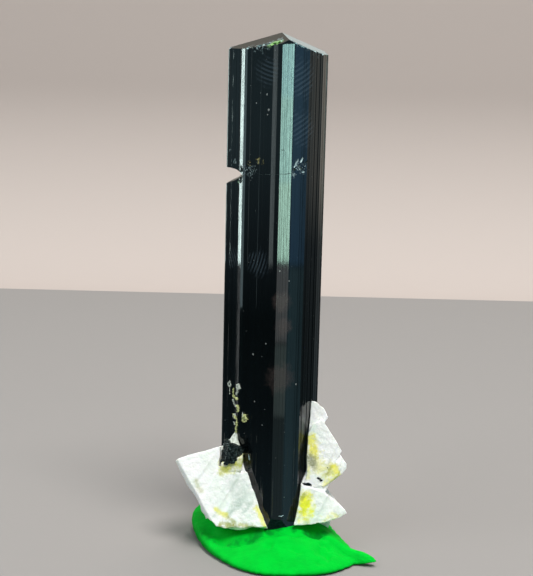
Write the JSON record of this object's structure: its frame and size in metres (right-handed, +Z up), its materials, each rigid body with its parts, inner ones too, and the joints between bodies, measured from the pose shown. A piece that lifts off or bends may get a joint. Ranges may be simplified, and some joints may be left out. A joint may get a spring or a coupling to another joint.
{
  "type": "tourmaline crystal",
  "caption": "Black tourmaline prism with a low three-sided point, grown on white feldspar blades and held upright in flat green putty.",
  "frame": {"origin": "on the flat underside of the putty, below the crystal's axis", "axes": "+Z up along the crystal; the front of the specimen, with its narrow bright face, looks along -Y"},
  "size_m": [0.0246, 0.0224, 0.0626],
  "materials": {
    "tourmaline": "glossy, finely striated along its length",
    "feldspar": "satin cleavage faces with yellow staining",
    "crumbs": "dull, crumbly",
    "putty": "satin, pressed by hand"
  },
  "bodies": {
    "root": {"tourmaline_crystal": "tourmaline", "small_tourmaline": "tourmaline", "feldspar_left": "feldspar", "feldspar_right": "feldspar", "feldspar_crumbs": "crumbs", "putty": "putty"}
  },
  "joints": []
}
